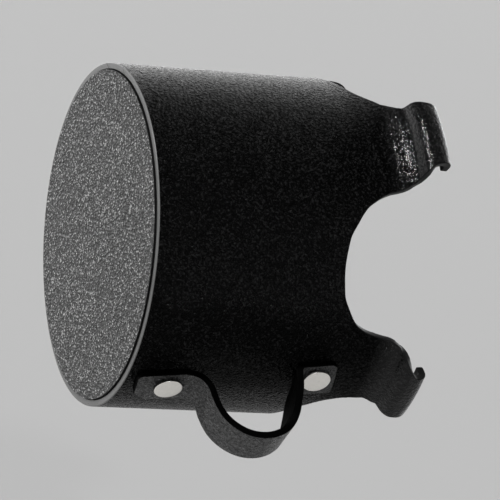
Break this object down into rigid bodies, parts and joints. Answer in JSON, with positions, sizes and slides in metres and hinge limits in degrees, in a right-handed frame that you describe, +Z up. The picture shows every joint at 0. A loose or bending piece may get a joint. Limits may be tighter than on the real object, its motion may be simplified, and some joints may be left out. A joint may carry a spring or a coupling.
{
  "type": "trumpet bucket mute",
  "caption": "Cylindrical bucket mute: a rolled sheet cup with a flat end disc, scalloped mouth, spring hooks that clip over a trumpet bell's rim, and a riveted strap handle.",
  "frame": {"origin": "centre of the bell rim's bead, in its plane, where the hooks hold it; the mute's own axis is 1.8 mm below", "axes": "+X along the axis out of the open mouth, towards the trumpet; +Z up; the strap handle is low on the -Y side"},
  "size_m": [0.0983, 0.1116, 0.12],
  "materials": {
    "sheet": "black haircell grain, satin",
    "disc": "fine salt and pepper grain, dark grey",
    "handle": "black grained sheet",
    "rivet": "satin",
    "foam": "open-cell foam, matt",
    "batting": "felted batting",
    "cloth": "plain woven cloth"
  },
  "bodies": {
    "root": {"shell": "sheet", "end_disc": "disc", "end_seat_hoop": "sheet", "seam_strip": "sheet", "lining_sleeve": "foam", "absorber_pad": "batting", "pad_facing": "cloth", "retaining_ring": "sheet", "handle_strap": "handle", "handle_rivet_rear": "rivet", "handle_rivet_front": "rivet", "rivet_washer_rear": "rivet", "rivet_washer_front": "rivet", "rivet_back_cap_rear": "rivet", "rivet_back_cap_front": "rivet"},
    "hook_1": {"hook_1": "sheet"},
    "hook_2": {"hook_2": "sheet"},
    "hook_3": {"hook_3": "sheet"},
    "hook_4": {"hook_4": "sheet"}
  },
  "joints": [
    {"name": "hook_1_flex", "type": "hinge", "parent": "root", "child": "hook_1", "pos_m": [-0.012, -0.04094, 0.03815], "axis": [0, -0.6984, -0.7157], "range_deg": [0, 12], "stiffness_Nm_per_rad": 0.5},
    {"name": "hook_2_flex", "type": "hinge", "parent": "root", "child": "hook_2", "pos_m": [-0.012, -0.04559, -0.03634], "axis": [0, 0.6039, -0.7971], "range_deg": [0, 12], "stiffness_Nm_per_rad": 0.5},
    {"name": "hook_3_flex", "type": "hinge", "parent": "root", "child": "hook_3", "pos_m": [-0.012, 0.04559, -0.03634], "axis": [0, 0.6039, 0.7971], "range_deg": [0, 12], "stiffness_Nm_per_rad": 0.5},
    {"name": "hook_4_flex", "type": "hinge", "parent": "root", "child": "hook_4", "pos_m": [-0.012, 0.04094, 0.03815], "axis": [0, -0.6984, 0.7157], "range_deg": [0, 12], "stiffness_Nm_per_rad": 0.5}
  ]
}
